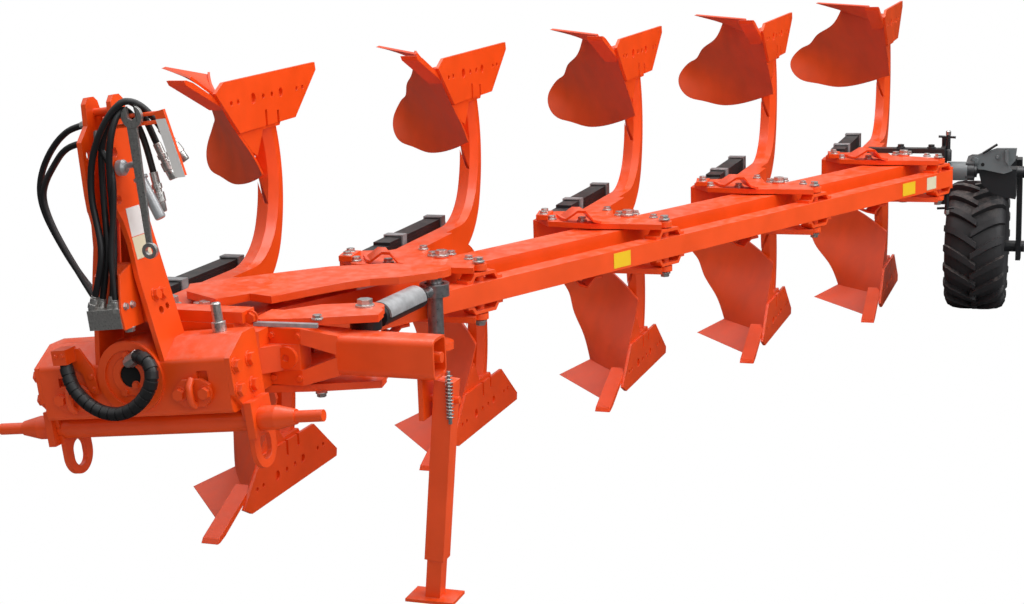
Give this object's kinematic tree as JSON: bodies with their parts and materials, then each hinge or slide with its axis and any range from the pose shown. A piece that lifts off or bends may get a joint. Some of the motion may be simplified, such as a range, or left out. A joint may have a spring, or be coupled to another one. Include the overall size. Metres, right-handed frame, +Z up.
{
  "type": "reversible moldboard plough",
  "caption": "Mounted reversible plough: slanted beam with paired moldboard bottoms above and below, headstock with top-link tower, side cylinder, depth wheel and parking stand.",
  "frame": {"origin": "middle of the bounding box, on the ground the plough is parked on", "axes": "+X forward to the tractor, +Y to the left of travel, +Z up"},
  "size_m": [5.9822, 3.2152, 1.6628],
  "materials": {
    "orange_paint": "gloss",
    "black_paint": "satin",
    "steel": "turned",
    "silver": "satin",
    "hose_rubber": "matte",
    "tyre": "matte"
  },
  "bodies": {
    "front_frame": {"front_casting": "orange_paint", "fork_tube": "orange_paint", "cylinder_arms": "orange_paint", "cylinder_barrel_pin": "steel", "stand_bracket": "orange_paint"},
    "headstock": {"headstock_box": "orange_paint", "hitch_plates": "orange_paint", "shaft_clamps": "orange_paint", "cross_shaft": "orange_paint", "tower": "orange_paint", "guard_box": "orange_paint", "valve_block": "steel", "coupling_rack": "orange_paint", "hose_couplings": "steel", "tower_hoses": "hose_rubber", "left_hoses": "hose_rubber", "loop_hose": "hose_rubber"},
    "beam": {"beam": "orange_paint", "beam_arms": "orange_paint", "cylinder_rod_pin": "steel"},
    "link_bar": {"link_bar": "orange_paint"},
    "vario_barrel": {"vario_barrel": "black_paint", "vario_barrel_guard": "silver"},
    "vario_rod": {"vario_rod": "steel"},
    "wheel_arm": {"wheel_arm": "black_paint"},
    "depth_wheel": {"tyre": "tyre", "rim": "silver"},
    "stand": {"stand_outer": "orange_paint", "stand_inner": "orange_paint"},
    "bottom_1": {"leg_bracket_1": "orange_paint", "leg_1": "orange_paint", "leaf_springs_1": "black_paint", "moldboards_1": "orange_paint", "shares_1": "orange_paint", "landsides_1": "orange_paint"},
    "bottom_2": {"leg_bracket_2": "orange_paint", "leg_2": "orange_paint", "leaf_springs_2": "black_paint", "moldboards_2": "orange_paint", "shares_2": "orange_paint", "landsides_2": "orange_paint"},
    "bottom_3": {"leg_bracket_3": "orange_paint", "leg_3": "orange_paint", "leaf_springs_3": "black_paint", "moldboards_3": "orange_paint", "shares_3": "orange_paint", "landsides_3": "orange_paint"},
    "bottom_4": {"leg_bracket_4": "orange_paint", "leg_4": "orange_paint", "leaf_springs_4": "black_paint", "moldboards_4": "orange_paint", "shares_4": "orange_paint", "landsides_4": "orange_paint"},
    "bottom_5": {"leg_bracket_5": "orange_paint", "leg_5": "orange_paint", "leaf_springs_5": "black_paint", "moldboards_5": "orange_paint", "shares_5": "orange_paint", "landsides_5": "orange_paint", "wheel_bracket": "black_paint"}
  },
  "joints": [
    {"name": "turnover", "type": "hinge", "parent": "front_frame", "child": "headstock", "pos_m": [2.81009, -0.76441, 0.82], "axis": [1, 0, 0], "range_deg": [0, 180]},
    {"name": "vario_hinge", "type": "hinge", "parent": "front_frame", "child": "beam", "pos_m": [2.55176, -0.82913, 0.82], "axis": [0, 0, 1], "range_deg": [-2.5, 8]},
    {"name": "link_hinge", "type": "hinge", "parent": "front_frame", "child": "link_bar", "pos_m": [2.6355, -0.65303, 0.82], "axis": [0, 0, 1], "range_deg": [-2.55, 8.16]},
    {"name": "barrel_hinge", "type": "hinge", "parent": "front_frame", "child": "vario_barrel", "pos_m": [2.35109, -0.23141, 0.888], "axis": [0, 0, 1], "range_deg": [-3.53, 11.28]},
    {"name": "rod_slide", "type": "slide", "parent": "vario_barrel", "child": "vario_rod", "axis": [-0.9972, 0.0749, 0], "range_m": [-0.02642, 0.08454]},
    {"name": "bottom_1_hinge", "type": "hinge", "parent": "beam", "child": "bottom_1", "pos_m": [2.4181, -0.76557, 0.82], "axis": [0, 0, 1], "range_deg": [-8.16, 2.55]},
    {"name": "bottom_2_hinge", "type": "hinge", "parent": "beam", "child": "bottom_2", "pos_m": [1.4655, -0.31257, 0.82], "axis": [0, 0, 1], "range_deg": [-8.16, 2.55]},
    {"name": "bottom_3_hinge", "type": "hinge", "parent": "beam", "child": "bottom_3", "pos_m": [0.5129, 0.14043, 0.82], "axis": [0, 0, 1], "range_deg": [-8.16, 2.55]},
    {"name": "bottom_4_hinge", "type": "hinge", "parent": "beam", "child": "bottom_4", "pos_m": [-0.4397, 0.59343, 0.82], "axis": [0, 0, 1], "range_deg": [-8.16, 2.55]},
    {"name": "bottom_5_hinge", "type": "hinge", "parent": "beam", "child": "bottom_5", "pos_m": [-1.3923, 1.04643, 0.82], "axis": [0, 0, 1], "range_deg": [-8.16, 2.55]},
    {"name": "wheel_swing", "type": "hinge", "parent": "bottom_5", "child": "wheel_arm", "pos_m": [-1.58991, 1.26459, 0.82], "axis": [0, 1, 0], "range_deg": [0, 85]},
    {"name": "wheel_spin", "type": "hinge", "parent": "wheel_arm", "child": "depth_wheel", "pos_m": [-2.10491, 1.36459, 0.345], "axis": [0, 1, 0], "continuous": true},
    {"name": "stand_fold", "type": "hinge", "parent": "front_frame", "child": "stand", "pos_m": [2.42609, 0.06959, 0.67], "axis": [0, 1, 0], "range_deg": [-90, 0]}
  ],
  "couplings": [
    {"joint": "link_hinge", "follows": "vario_hinge", "ratio": 1},
    {"joint": "barrel_hinge", "follows": "vario_hinge", "ratio": 1.3825},
    {"joint": "rod_slide", "follows": "vario_hinge", "m_per_rad": 0.59357},
    {"joint": "bottom_1_hinge", "follows": "vario_hinge", "ratio": -1},
    {"joint": "bottom_2_hinge", "follows": "vario_hinge", "ratio": -1},
    {"joint": "bottom_3_hinge", "follows": "vario_hinge", "ratio": -1},
    {"joint": "bottom_4_hinge", "follows": "vario_hinge", "ratio": -1},
    {"joint": "bottom_5_hinge", "follows": "vario_hinge", "ratio": -1}
  ]
}
